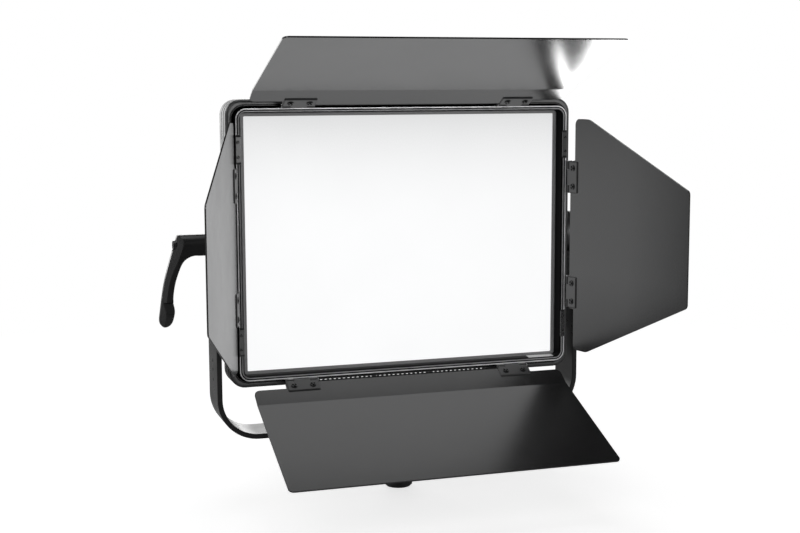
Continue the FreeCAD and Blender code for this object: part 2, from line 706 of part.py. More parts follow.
def power_rocker():
    x, z = SWITCH
    rocker = prism([(70.0, z - 7.0, 0.6), (76.6, z - 7.2, 0.8), (74.4, z, 20.0),
                    (75.2, z + 7.2, 0.8), (70.0, z + 7.0, 0.6), (66.0, z, 4.0)],
                   "yz", x - 5.3, x + 5.3)
    return fuse([rocker, cylx(1.0, x - 6.5, x + 6.5, 71.0, z)])


def signal_sockets():
    """two round five-pin data sockets and a small service socket"""
    sockets = []
    for x, z in DATA:
        shell = fuse([cyly(12.0, 58.0, 73.5, x, z), slab(14.5, 16.0, 2.5, FLANGE_Y, 75.4, x, z)])
        pins = []
        for i in range(5):
            angle = math.radians(54 + 72 * i)
            pins.append(cyly(0.9, 60.0, 72.0, x + 4.6 * math.cos(angle),
                             z + 4.6 * math.sin(angle)))
        sockets.append(join([shell.cut(cyly(8.6, 61.0, 80.0, x, z))] + pins))
    service = slab(6.2, 4.0, 1.0, 61.05, 69.8, *SERVICE).fuse(
        slab(4.6, 1.9, 1.6, 69.5, 73.5, *SERVICE))
    sockets.append(service.cut(slab(4.2, 1.4, 1.3, 63.0, 80.0, *SERVICE)))
    return sockets


def safety_eye():
    """safety cable eye on the rear cover"""
    y = REAR_Y + COVER_T
    stem = turned([(0, -14.0), (2.0, -14.0), (2.0, 0.05), (6.5, 0.05), (6.5, 2.5), (0, 2.5)],
                  (0, y, EYE_Z), (0, 1, 0))
    return fuse([stem, Part.makeTorus(7.4, 2.0, V(0, y + 10.0, EYE_Z), V(1, 0, 0))])


def label_plates():
    """blank plate on the rear cover, and a small blank tag on the bezel's bottom slope"""
    tag = prism([(-22.5, -125.90, 0), (-30.0, -126.58, 0), (-30.0, -126.26, 0),
                 (-22.5, -125.58, 0)], "yz", 132.0, 159.5)
    return [slab(26.0, 15.0, 1.5, REAR_Y + 3.52, REAR_Y + 4.1, 108.0, -52.0), tag]


# ----------------------------------------------------------------------------
# fans
# ----------------------------------------------------------------------------
FAN_Y0, FAN_Y1 = 44.0, 64.0
STRUT_Y = 46.5                       # back of the hub plate and struts
BLADES = 7


def turn_to_fan(shape, fan_x, degrees):
    """turn about the y axis, then move onto a fan's centre"""
    shape.rotate(V(0, 0, 0), V(0, 1, 0), degrees)
    shape.translate(V(fan_x, 0, FAN_Z))
    return shape


def fan_frames():
    frames = []
    for x in (-FAN_X, FAN_X):
        frame = slab(40.0, 40.0, 4.0, FAN_Y0, FAN_Y1, x, FAN_Z).cut(
            cyly(38.0, 40.0, 70.0, x, FAN_Z))
        frame = frame.fuse(cyly(12.0, FAN_Y0, STRUT_Y, x, FAN_Z))
        for i in range(4):
            strut = box(10.0, 39.5, FAN_Y0, STRUT_Y, -1.5, 1.5)
            frame = frame.fuse(turn_to_fan(strut, x, 45 + 90 * i))
        frame = cut(frame, [cyly(2.05, 40.0, 50.0, x, FAN_Z)] + [
            cyly(2.1, 40.0, 70.0, x + dx, FAN_Z + dz)
            for dx in (-35.7, 35.7) for dz in (-35.7, 35.7)])
        frames.append(frame.removeSplitter())
    return frames


def fan_rotor(fan_x):
    rotor = fuse([cyly(15.0, 47.2, 62.5, fan_x, FAN_Z), cyly(2.0, 44.4, 48.0, fan_x, FAN_Z)])
    # hollow hub around a central post
    rotor = rotor.cut(cyly(13.0, 46.0, 60.5, fan_x, FAN_Z).cut(
        cyly(3.5, 46.0, 61.0, fan_x, FAN_Z)))
    for i in range(BLADES):
        root = rounded_wire([(-1.1, 50.0, 0), (1.1, 50.0, 0), (5.1, 60.5, 0), (2.9, 60.5, 0)],
                            "xy", 14.2)
        tip = rounded_wire([(-5.1, 50.0, 0), (-3.1, 50.0, 0), (8.3, 60.5, 0), (6.3, 60.5, 0)],
                           "xy", 36.5)
        blade = Part.makeLoft([root, tip], True, True)
        rotor = rotor.fuse(turn_to_fan(blade, fan_x, 360.0 / BLADES * i))
    return rotor.removeSplitter()


# ----------------------------------------------------------------------------
# hinges, drawn with x along the hinge axis, y across the door away from the
# axis and z outwards from the light
# ----------------------------------------------------------------------------
AXIS_OUT = 2.1                       # hinge axis outside the frame's outer face
AXIS_X, AXIS_Z = RING_HW + AXIS_OUT, RING_HH + AXIS_OUT
AXIS_Y = -36.2                       # hinge axis, in front of the frame
KNUCKLE_R, PIN_R = 2.05, 1.0
LEAF_T = 1.2
PLATE_Z0 = -KNUCKLE_R                # inner and outer faces of the hinge plates
PLATE_Z1 = PLATE_Z0 + LEAF_T
KNUCKLE_X = 8.0                      # joint between inner and outer knuckles
HINGE_X = 16.0                       # half the hinge's length
LEAF_END = 14.5                      # leaf plate's far edge from the axis
SCREW_Y, SCREWS_X = 8.0, (-9.3, 9.3)
RIVET_Y, RIVETS_X = -7.6, (-10.0, 10.0)
# hinge centres from the middle of the door: level hinges carry the top and
# bottom doors, upright ones the side doors
CENTRE = {"level": 110.0, "upright": 58.7}

# door sheet
SHEET_T = 1.5
SHEET_Z0 = -0.85                     # inner face, from the axis
SHEET_Z1 = SHEET_Z0 + SHEET_T


def hinge_origin(kind, side, centre=0.0):
    if kind == "level":
        return V(centre, AXIS_Y, side * AXIS_Z)
    return V(side * AXIS_X, AXIS_Y, centre)


def hinge_axes(kind, side, degrees):
    """unit vectors along the hinge, across the door and outwards, for a door
    opened by an angle from the light's axis"""
    c, s = math.cos(math.radians(degrees)), math.sin(math.radians(degrees))
    if kind == "upright":
        return V(0, 0, side), V(side * s, -c, 0), V(side * c, s, 0)
    return V(-side, 0, 0), V(0, -c, side * s), V(0, s, side * c)


def at_hinges(shapes):
    """copies of the shapes at every hinge on the frame"""
    placed = []
    for side in (-1, 1):
        for kind, centre in CENTRE.items():
            axes = hinge_axes(kind, side, 0.0)
            for offset in (-centre, centre):
                origin = hinge_origin(kind, side, offset)
                placed += [place(shape, origin, *axes) for shape in shapes]
    return placed


def hinge_brackets():
    """two outer knuckles and a plate on the frame's side"""
    shapes = []
    for side in (-1, 1):
        x0, x1 = sorted((side * KNUCKLE_X, side * HINGE_X))
        shapes.append(cylx(KNUCKLE_R, x0, x1))
        shapes.append(box(x0, x1, -3.5, 0.0, PLATE_Z0, PLATE_Z1))
    shapes.append(box(-HINGE_X, HINGE_X, -11.0, -3.0, PLATE_Z0, PLATE_Z1))
    bracket = cut(fuse(shapes), [cylx(PIN_R + 0.02, -HINGE_X - 1, HINGE_X + 1)] +
                  [cylz(1.3, -5.0, 5.0, x, RIVET_Y) for x in RIVETS_X])
    return at_hinges([bracket])


def hinge_pins():
    end = 2 * HINGE_X + 0.1
    pin = turned([(0, 0), (PIN_R, 0), (PIN_R, end), (1.7, end), (1.7, end + 0.7),
                  (0, end + 0.7)], (-HINGE_X - 0.1, 0, 0), (1, 0, 0))
    return at_hinges([pin])


def bracket_rivets():
    rivets = []
    for x in RIVETS_X:
        shank = cylz(1.25, PLATE_Z0 - RING_W - 0.03, PLATE_Z1, x, RIVET_Y)
        cap = turned([(0, 0), (2.3, 0), (2.3, 0.35), (1.2, 0.8), (0, 0.8)],
                     (x, RIVET_Y, PLATE_Z1 + 0.01))
        rivets.append(fuse([shank, cap]))
    return at_hinges(rivets)


def hinge_leaf():
    """inner knuckle and the plate on the door"""
    half = KNUCKLE_X - 0.2
    leaf = fuse([cylx(KNUCKLE_R, -half, half),
                 box(-half, half, 0.0, 3.2, PLATE_Z0, PLATE_Z1),
                 box(-HINGE_X, HINGE_X, 2.7, LEAF_END, PLATE_Z0, PLATE_Z1)])
    # far corners, then the rim of the far edge on the inner face
    leaf = fillet_where(leaf, 1.2, lambda e: abs(e.Length - LEAF_T) < 0.01
                        and abs(abs(mid(e).x) - HINGE_X) < 0.01
                        and abs(mid(e).y - LEAF_END) < 0.01)
    rim = [e for e in leaf.Edges if abs(e.BoundBox.ZMin - PLATE_Z0) < 0.01
           and abs(e.BoundBox.ZMax - PLATE_Z0) < 0.01 and mid(e).y > LEAF_END - 1.5]
    leaf = leaf.makeChamfer(0.75, rim)
    return cut(leaf, [cylx(PIN_R + 0.05, -KNUCKLE_X - 1, KNUCKLE_X + 1)] +
               [cylz(1.6, -5.0, 5.0, x, SCREW_Y) for x in SCREWS_X])


def hinge_fasteners():
    """screws from the leaf side, nuts outside the door"""
    shapes = []
    for x in SCREWS_X:
        shapes.append(pan_screw(1.45, 3.1, SHEET_T + LEAF_T + 1.9, 1.0,
                                (x, SCREW_Y, PLATE_Z0 - 0.01), (0, 0, -1)))
        nut = hex_prism(2.75, 1.7, SHEET_Z1 + 0.01, "xy", x, SCREW_Y)
        shapes.append(nut.cut(cylz(1.5, 0, 10, x, SCREW_Y)))
    return shapes


# ----------------------------------------------------------------------------
# barn door frame and the clips on its front face
# ----------------------------------------------------------------------------
CLIP_X0, CLIP_X1 = 165.3, 169.7
CLIP_Y0, CLIP_Y1 = -34.05, RING_Y0 - FIT
CLIP_SCREW_X = 168.15
CLIPS = [(side, z) for side in (-1, 1) for z in (-92.0, 92.0)]
CLIP_SCREWS = [(side * CLIP_SCREW_X, z + dz) for side, z in CLIPS for dz in (-7.0, 7.0)]


def barn_door_frame():
    frame = slab_ring(RING_HW, RING_HH, RING_R,
                      RING_HW - RING_W, RING_HH - RING_W, RING_R - RING_W, RING_Y0, RING_Y1)
    inner = RING_W - 1.0
    groove = slab_ring(RING_HW - 1.0, RING_HH - 1.0, RING_R - 1.0,
                       RING_HW - inner, RING_HH - inner, RING_R - inner,
                       RING_Y0 - 1, RING_Y0 + 1.0)
    holes = at_hinges([cylz(1.3, -8.0, 2.0, x, RIVET_Y) for x in RIVETS_X])
    holes += [cyly(1.0, -40, -27, x, z) for x, z in CLIP_SCREWS]
    return cut(frame.cut(groove), holes)


def frame_clips():
    clips = []
    for side, z in CLIPS:
        clip = prism([(CLIP_Y0, z - 12.0, 0.6), (CLIP_Y0, z + 12.0, 0.6),
                      (CLIP_Y1, z + 14.0, 0.0), (CLIP_Y1, z - 14.0, 0.0)],
                     "yz", CLIP_X0, CLIP_X1)
        if side < 0:
            clip = clip.mirror(V(0, 0, 0), V(1, 0, 0))
        for dz in (-7.0, 7.0):
            clip = clip.cut(cyly(1.0, -40, -20, side * CLIP_SCREW_X, z + dz))
        clips.append(clip)
    return clips


def clip_screws():
    return [pan_screw(0.9, 1.5, 5.6, 0.6, (x, CLIP_Y0 - 0.01, z), (0, -1, 0))
            for x, z in CLIP_SCREWS]


# ----------------------------------------------------------------------------
# doors, drawn in the hinge's axes
# ----------------------------------------------------------------------------
DOOR_Y0, DOOR_Y0_OUT = 3.3, 10.0     # hinge-side edge: between and outside the hinges
SIDE_HW, SIDE_WIDE_Y = 117.7, 30.0   # side doors: wide end
SIDE_TIP_HW, SIDE_TIP_Y = 54.1, 171.2
CREASED_HW, CREASED_LEN = 159.4, 163.8
CREASE_Y, BEND = 30.0, 11.5          # crease from the axis, bend in degrees

# name: hinge kind, side, opening angle of the panel at the hinge
DOORS = {
    "top": ("level", 1, 19.2 + BEND),
    "bottom": ("level", -1, 21.4 + BEND),
    "left": ("upright", -1, 19.6),
    "right": ("upright", 1, 15.0)}


def hinge_edge(half_width, centre):
    """hinge-side corners of a door, (x, y, radius)"""
    step = centre + HINGE_X + 1.0
    return [(-half_width, DOOR_Y0_OUT, 6.0), (-step, DOOR_Y0_OUT, 1.0), (-step, DOOR_Y0, 1.0),
            (step, DOOR_Y0, 1.0), (step, DOOR_Y0_OUT, 1.0), (half_width, DOOR_Y0_OUT, 6.0)]


def drill(sheet, centre):
    return cut(sheet, [cylz(1.6, -8, 8, hinge + x, SCREW_Y)
                       for hinge in (-centre, centre) for x in SCREWS_X])


def side_door():
    """flat door that narrows away from its hinges"""
    corners = hinge_edge(SIDE_HW, CENTRE["upright"]) + [
        (SIDE_HW, SIDE_WIDE_Y, 9.0), (SIDE_TIP_HW, SIDE_TIP_Y, 5.0),
        (-SIDE_TIP_HW, SIDE_TIP_Y, 5.0), (-SIDE_HW, SIDE_WIDE_Y, 9.0)]
    return drill(prism(corners, "xy", SHEET_Z0, SHEET_Z1), CENTRE["upright"])


def creased_door():
    """door with a crease: its main panel bends inwards beyond it"""
    bend = math.radians(BEND)
    c, s = math.cos(bend), math.sin(bend)
    reach = CREASED_LEN - CREASE_Y

    def crease(z, radius):
        return (CREASE_Y + z * math.tan(bend / 2), z, radius)

    def far_end(z):
        return (CREASE_Y + reach * c + z * s, -reach * s + z * c, 0)

    sheet = prism([(DOOR_Y0, SHEET_Z0, 0), crease(SHEET_Z0, 5.0), far_end(SHEET_Z0),
                   far_end(SHEET_Z1), crease(SHEET_Z1, 6.5), (DOOR_Y0, SHEET_Z1, 0)],
                  "yz", -CREASED_HW, CREASED_HW)
    near = prism(hinge_edge(CREASED_HW, CENTRE["level"]) +
                 [(CREASED_HW, 300, 0), (-CREASED_HW, 300, 0)], "xy", -80, 20)
    far = prism([(-CREASED_HW, -100, 0), (CREASED_HW, -100, 0),
                 (CREASED_HW, reach, 5.0), (-CREASED_HW, reach, 5.0)], "xy", -60, 60)
    far = place(far, (0, CREASE_Y, 0), (1, 0, 0), (0, c, -s), (0, s, c))
    return drill(sheet.common(near).common(far), CENTRE["level"])


# ----------------------------------------------------------------------------
# one STEP file per piece
# ----------------------------------------------------------------------------
HEAD_LIFT = TILT_Z + NECK_L          # tilt axis above the origin
BASE_LIFT = NECK_L                   # yoke's underside above the origin

HEAD_PIECES = (
    yoke_bar, friction_discs, pivot_washer, pivot_bolt, lever_base_washer, lever_stud,
    tilt_lever, lever_screw, lever_spring, main_housing, rear_cover, rear_cover_screws,
    front_bezel, diffuser_panel, diffuser_gasket, light_chamber, led_board, led_emitters,
    heatsink, power_supply, driver_board, control_board, display_window, encoder_bodies,
    power_inlet, switch_housing, power_rocker, signal_sockets, safety_eye, label_plates,
    fan_frames, barn_door_frame, hinge_brackets, hinge_pins, bracket_rivets, frame_clips,
    clip_screws)


def save(name, shapes, lift=HEAD_LIFT):
    """write one shape, or a list of them, lifted into place"""
    solids = []
    for shape in shapes if isinstance(shapes, list) else [shapes]:
        lifted = shape.copy()
        lifted.translate(V(0, 0, lift))
        solids += lifted.Solids
    piece = solids[0] if len(solids) == 1 else Part.makeCompound(solids)
    piece.exportStep("parts/%s.step" % name)


def save_doors():
    sheets = {"level": creased_door(), "upright": side_door()}
    leaf = hinge_leaf()
    fasteners = hinge_fasteners()
    for name, (kind, side, degrees) in DOORS.items():
        origin = hinge_origin(kind, side)
        axes = hinge_axes(kind, side, degrees)
        save("door_" + name, place(sheets[kind], origin, *axes))
        hinges = [origin + axes[0] * x for x in (-CENTRE[kind], CENTRE[kind])]
        save("hinge_leaves_" + name, [place(leaf, hinge, *axes) for hinge in hinges])
        save("hinge_fasteners_" + name,
             [place(shape, hinge, *axes) for hinge in hinges for shape in fasteners])


os.makedirs("parts", exist_ok=True)
for build in (stand_spigot, spigot_bolt, spigot_lock_screw):
    save(build.__name__, build(), BASE_LIFT)
for build in HEAD_PIECES:
    save(build.__name__, build())
for name, place_on_cover in zip(("left_dial", "centre_dial", "right_dial"), KNOBS):
    save(name, knob(*place_on_cover))
for number, place_on_cover in enumerate(BUTTONS, 1):
    save("menu_button_%d" % number, menu_button(*place_on_cover))
save("fan_rotor_left", fan_rotor(-FAN_X))
save("fan_rotor_right", fan_rotor(FAN_X))
save_doors()
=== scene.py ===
"""A flat studio light panel with four barn doors, on a yoke with a stand spigot.

Metres, +Z up. The lit front faces -Y, the controls at the back face +Y, X runs across the
panel (+X is on the right seen from the front). The shapes come from the CAD pieces; this
script adds materials, softened edges, a floor, lights and a camera.
"""

import json
import math

import bmesh
import bpy
from mathutils import Matrix, Vector


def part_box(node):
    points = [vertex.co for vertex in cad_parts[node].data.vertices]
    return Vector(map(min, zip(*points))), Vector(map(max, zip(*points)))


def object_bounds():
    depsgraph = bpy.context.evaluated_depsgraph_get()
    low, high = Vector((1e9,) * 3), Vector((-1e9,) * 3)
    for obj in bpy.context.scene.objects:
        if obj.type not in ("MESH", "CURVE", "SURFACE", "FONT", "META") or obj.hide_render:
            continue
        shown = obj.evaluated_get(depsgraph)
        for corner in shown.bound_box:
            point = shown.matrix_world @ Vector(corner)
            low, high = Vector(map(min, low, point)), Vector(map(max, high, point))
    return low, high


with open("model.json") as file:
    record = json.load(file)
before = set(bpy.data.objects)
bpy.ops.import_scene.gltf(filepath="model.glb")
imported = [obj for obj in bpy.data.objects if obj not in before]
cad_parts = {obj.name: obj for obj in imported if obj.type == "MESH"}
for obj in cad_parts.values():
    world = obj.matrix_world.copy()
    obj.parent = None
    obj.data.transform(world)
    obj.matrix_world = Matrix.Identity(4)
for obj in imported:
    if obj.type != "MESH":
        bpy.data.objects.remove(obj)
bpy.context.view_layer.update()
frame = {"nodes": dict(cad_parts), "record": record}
NODES = frame["nodes"]
scene = bpy.context.scene

MATERIALS = {}


# ---------------------------------------------------------------------------
# node helpers
# ---------------------------------------------------------------------------
NOISE_BAND = (0.3, 0.7)     # most of a noise's values lie in here
MID_BAND = (0.35, 0.65)     # narrower, for more contrast
PATCH_BAND = (0.38, 0.62)   # narrower still, for broken-up wear


class Value:
    """an output socket; + - * between values make Math nodes"""

    def __init__(self, nodes, socket):
        self.nodes = nodes
        self.socket = socket

    def __add__(self, other):
        return self.nodes.math("ADD", self, other)

    def __radd__(self, other):
        return self.nodes.math("ADD", other, self)

    def __sub__(self, other):
        return self.nodes.math("SUBTRACT", self, other)

    def __rsub__(self, other):
        return self.nodes.math("SUBTRACT", other, self)

    def __mul__(self, other):
        return self.nodes.math("MULTIPLY", self, other)


class Nodes:
    """the emptied shader tree of a material or a world, filled step by step"""

    def __init__(self, owner, output, coordinates):
        owner.use_nodes = True
        self.tree = owner.node_tree
        self.tree.nodes.clear()
        self.out = self.node(output)
        self.coords = self.make("TexCoord", coordinates)

    def node(self, kind, **props):
        node = self.tree.nodes.new("ShaderNode" + kind)
        for key, setting in props.items():
            setattr(node, key, setting)
        return node

    def feed(self, socket, value):
        """links a Value to the socket, or stores a plain value in it"""
        if isinstance(value, Value):
            self.tree.links.new(value.socket, socket)
        else:
            socket.default_value = value

    def make(self, kind, output, inputs=None, **props):
        """a new node with its inputs fed, as the Value of one of its outputs"""
        node = self.node(kind, **props)
        for key, value in (inputs or {}).items():
            self.feed(node.inputs[key], value)
        return Value(self, node.outputs[output])

    def math(self, operation, a, b=0.0, clamp=False):
        return self.make("Math", 0, {0: a, 1: b}, operation=operation, use_clamp=clamp)

    def mapping(self, scale, rotation=(0, 0, 0)):
        return self.make("Mapping", 0, {"Vector": self.coords, "Scale": scale,
                                        "Rotation": rotation})

    def noise(self, scale, detail, rough=0.6, vector=None):
        return self.make("TexNoise", "Fac", {"Vector": vector or self.coords, "Scale": scale,
                                             "Detail": detail, "Roughness": rough})

    def voronoi(self, scale, feature="F1", random=1.0, vector=None):
        inputs = {"Vector": vector or self.coords, "Scale": scale, "Randomness": random}
        return self.make("TexVoronoi", "Distance", inputs, feature=feature)

    def remap(self, value, over, to=(0.0, 1.0)):
        """the span `over` stretched onto the span `to`, held at its ends"""
        return self.make("MapRange", "Result", {
            "Value": value, "From Min": over[0], "From Max": over[1],
            "To Min": to[0], "To Max": to[1]})

    def swing(self, noise, by, about=0.0, band=NOISE_BAND):
        """a noise turned into a variation of +-by about a middle value"""
        return self.remap(noise, over=band, to=(about - by, about + by))

    def mix(self, factor, a, b):
        """colour a where the factor is 0, colour b where it is 1"""
        a, b = (c if isinstance(c, Value) else (*c, 1.0) for c in (a, b))
        return self.make("Mix", 2, {0: factor, 6: a, 7: b}, data_type="RGBA")

    def mix_shader(self, factor, a, b):
        return self.make("MixShader", 0, {0: factor, 1: a, 2: b})

    def scaled(self, color, by):
        return self.make("VectorMath", 0, {0: color, "Scale": by}, operation="SCALE")

    def edge(self, radius):
        """0 on flats, 1 on edges, by how far a rounded normal leans from the face's own"""
        rounded = self.make("Bevel", 0, {"Radius": radius}, samples=4)
        own = self.make("NewGeometry", "Normal")
        cosine = self.make("VectorMath", "Value", {0: rounded, 1: own}, operation="DOT_PRODUCT")
        return self.remap(1.0 - cosine, over=(0.02, 0.30))

    def openness(self, distance):
        """ambient occlusion: low in recesses of about this size"""
        return self.make("AmbientOcclusion", "AO", {"Distance": distance}, samples=6)

    def bump(self, height, strength, distance, under=None):
        inputs = {"Height": height, "Strength": strength, "Distance": distance}
        if under is not None:
            inputs["Normal"] = under
        return self.make("Bump", "Normal", inputs)

    def xyz(self):
        node = self.node("SeparateXYZ")
        self.feed(node.inputs[0], self.coords)
        return [Value(self, output) for output in node.outputs]


class Mat(Nodes):
    """a material around one Principled shader, kept in MATERIALS"""

    def __init__(self, name):
        material = MATERIALS[name] = bpy.data.materials.new(name)
        super().__init__(material, "OutputMaterial", "Object")
        self.principled = self.node("BsdfPrincipled")
        self.surface = Value(self, self.principled.outputs["BSDF"])
        self.feed(self.out.inputs["Surface"], self.surface)

    def set(self, inputs):
        for key, value in inputs.items():
            self.feed(self.principled.inputs[key], value)


# ---------------------------------------------------------------------------
# families of materials
# ---------------------------------------------------------------------------
def coat_noises(m, grain):
    """slow drift, middle clouding and fine grain of a powder coat"""
    return (m.noise(scale=9.0, detail=4.0),
            m.noise(scale=55.0, detail=5.0, rough=0.65),
            m.noise(scale=1.0 / grain, detail=2.0, rough=0.5))


def painted(name, color, rough, ior, wear, wear_color, wear_radius,
            grain_bump=0.10, mottle=0.10, smudge=0.06, sheen_fade_part=None):
    """satin powder coat: orange-peel grain, tone drift, smudges, thinned paint on edges"""
    m = Mat(name)
    slow, mid, fine = coat_noises(m, grain=0.00045)
    tone = m.swing(slow, by=mottle) + m.swing(fine, by=0.06)
    col = m.scaled(color, by=1.0 + tone)

    # hairline scratches, long one way, broken up
    streaks = m.mapping(scale=(18.0, 420.0, 420.0), rotation=(0.15, 0.1, 0.6))
    scratches = m.remap(m.noise(scale=1.0, detail=3.0, vector=streaks), over=(0.70, 0.80))
    breaks = m.noise(scale=14.0, detail=2.0, rough=0.55)
    scratches = scratches * m.remap(breaks, over=(0.52, 0.66), to=(0.0, 0.5))

    roughness = rough + m.swing(slow, by=smudge)
    roughness = roughness + m.swing(mid, by=smudge * 0.5, band=MID_BAND)
    edges = m.edge(wear_radius) * m.remap(mid, over=PATCH_BAND, to=(0.25, 1.0))
    edges = m.math("MULTIPLY", edges, wear, clamp=True)
    col = m.mix(edges, col, wear_color)
    col = m.mix(scratches * 0.25, col, wear_color)
    m.set({"Base Color": col, "Roughness": roughness - edges * 0.08, "IOR": ior})
    if sheen_fade_part:
        # painted sheen fall-off: the specular level is lowered towards the +X free edge and the
        # bottom
        lo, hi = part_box(sheen_fade_part)
        x, _, z = m.xyz()
        middle_x = lo[0] + 0.5 * (hi[0] - lo[0])
        low_z = lo[2] + 0.35 * (hi[2] - lo[2])
        painted_sheen_fade = m.math("ADD", m.remap(x, over=(middle_x, hi[0]), to=(0.0, 0.8)),
                      m.remap(z, over=(lo[2], low_z), to=(0.7, 0.0)), clamp=True)
        m.set({"Specular IOR Level": m.remap(painted_sheen_fade, over=(0.0, 1.0), to=(0.5, 0.25))})
    grain = m.bump(fine, strength=grain_bump, distance=0.00006)
    m.set({"Normal": m.bump(mid, strength=0.03, distance=0.0004, under=grain)})


def plastic(name, color, rough, grain, grain_bump, wear=0.25):
    """moulded plastic: spark-eroded texture, slight flow marks, edges rubbed a little shiny"""
    m = Mat(name)
    pits = m.voronoi(scale=1.0 / grain)
    fine = m.noise(scale=1.6 / grain, detail=3.0)
    height = pits * 0.6 + fine * 0.6
    slow = m.noise(scale=22.0, detail=4.0)
    col = m.scaled(color, by=m.swing(slow, by=0.10, about=1.0) + m.swing(fine, by=0.08))
    roughness = rough + m.swing(slow, by=0.07)
    if wear > 0:
        edges = m.math("MULTIPLY", m.edge(radius=0.0006), wear, clamp=True)
        col = m.mix(edges, col, (0.10, 0.10, 0.10))
        roughness = roughness - edges * 0.15
    m.set({"Base Color": col, "Roughness": roughness, "IOR": 1.46,
           "Normal": m.bump(height, strength=grain_bump, distance=0.00008)})


def metal(name, color, rough, line_scale, wear=0.2):
    """machined or plated metal: tool lines, cloudy tone, brighter edges"""
    m = Mat(name)
    lines = m.noise(scale=1.0, detail=3.0, vector=m.mapping(line_scale))
    cloud = m.noise(scale=60.0, detail=4.0)
    tarnish = m.remap(cloud, over=NOISE_BAND, to=(0.88, 1.048))
    col = m.scaled(color, by=tarnish + m.swing(lines, by=0.06))
    if wear > 0:
        edges = m.math("MULTIPLY", m.edge(radius=0.0004), wear, clamp=True)
        col = m.mix(edges, col, tuple(min(1.0, c * 1.6 + 0.1) for c in color))
    uneven = m.swing(lines, by=0.06) + m.remap(cloud, over=NOISE_BAND, to=(-0.06, 0.10))
    m.set({"Base Color": col, "Metallic": 1.0, "Roughness": rough + uneven,
           "Normal": m.bump(lines, strength=0.05, distance=0.00005)})


def simple(name, color, rough, scale, bump, tone):
    """an even surface with a fine grain and a slow tone drift"""
    m = Mat(name)
    fine = m.noise(scale=scale, detail=4.0)
    slow = m.noise(scale=scale * 0.02 + 6.0, detail=4.0)
    drift = m.swing(slow, by=tone, about=1.0) + m.swing(fine, by=0.05)
    m.set({"Base Color": m.scaled(color, by=drift), "IOR": 1.45,
           "Roughness": rough + m.swing(slow, by=0.06),
           "Normal": m.bump(fine, strength=bump, distance=0.00006)})


# ---------------------------------------------------------------------------
# single materials
# ---------------------------------------------------------------------------
FRAME_LO, FRAME_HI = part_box("barn_door_frame")
FRAME_CORNER = 0.010   # corner radius of the frame's outline


def frame_outline_distance(m):
    """signed distance in XZ from the frame's rounded outline, less than zero inside it"""
    half_width = 0.5 * (FRAME_HI[0] - FRAME_LO[0])
    half_height = 0.5 * (FRAME_HI[2] - FRAME_LO[2])
    centre_z = 0.5 * (FRAME_HI[2] + FRAME_LO[2])
    x, _, z = m.xyz()
    past_x = m.math("ABSOLUTE", x) - (half_width - FRAME_CORNER)
    past_z = m.math("ABSOLUTE", z - centre_z) - (half_height - FRAME_CORNER)
    out_x = m.math("MAXIMUM", past_x, 0.0)
    out_z = m.math("MAXIMUM", past_z, 0.0)
    outside = m.math("SQRT", out_x * out_x + out_z * out_z)
    inside = m.math("MINIMUM", m.math("MAXIMUM", past_x, past_z), 0.0)
    return outside + inside - FRAME_CORNER


def housing_paint():
    """textured powder coat; a painted shadow strip round the frame, and painted shade (ambient
    occlusion) in the rim's grooves
    """
    m = Mat("housing_paint")
    _, y, _ = m.xyz()
    # painted shadow: a dark strip on the front face round the frame, where the frame's shade
    # falls
    beyond_painted_shadow_strip = m.remap(frame_outline_distance(m), over=(0.0022, 0.0028))
    front = m.remap(y, over=(-0.0236, -0.0232), to=(1.0, 0.0))
    clear = 1.0 - front * (1.0 - beyond_painted_shadow_strip)
    # painted shade: ambient occlusion darkens the colour and the specular in the rim's grooves
    # and other recesses
    clear = clear * m.remap(m.openness(0.0022), over=(0.50, 0.86), to=(0.10, 1.0))
    slow, mid, fine = coat_noises(m, grain=0.0006)
    edges = m.math("MULTIPLY", m.edge(radius=0.0008),
                   m.remap(mid, over=PATCH_BAND, to=(0.10, 0.5)), clamp=True)
    col = m.mix(edges, (0.022, 0.0223, 0.023), (0.13, 0.13, 0.132))
    tone = clear * (m.swing(slow, by=0.08, about=1.0) + m.swing(fine, by=0.07))
    uneven = m.swing(slow, by=0.05) + m.swing(mid, by=0.03, band=MID_BAND)
    grain = m.bump(fine, strength=0.20, distance=0.00006)
    m.set({"Base Color": m.scaled(col, by=tone), "IOR": 1.58,
           "Specular IOR Level": clear * 0.56, "Roughness": 0.33 + uneven,
           "Normal": m.bump(mid, strength=0.03, distance=0.0004, under=grain)})


def black_steel():
    """black oxide steel: thin dark skin over metal, rubbed bright on the edges"""
    m = Mat("black_steel")
    skin = (0.022, 0.022, 0.023)
    cloud = m.noise(scale=160.0, detail=4.0)
    fine = m.noise(scale=1800.0, detail=2.0, rough=0.5)
    edges = m.math("MULTIPLY", m.edge(radius=0.00035),
                   m.remap(cloud, over=MID_BAND, to=(0.10, 0.45)), clamp=True)
    clouded = m.mix(cloud, tuple(c * 0.8 for c in skin), tuple(c * 1.3 for c in skin))
    m.set({"Base Color": m.mix(edges, clouded, (0.26, 0.255, 0.25)),
           "Metallic": edges * 0.8, "IOR": 1.7,
           "Roughness": 0.34 + m.swing(cloud, by=0.08),
           "Normal": m.bump(fine, strength=0.08, distance=0.00004)})


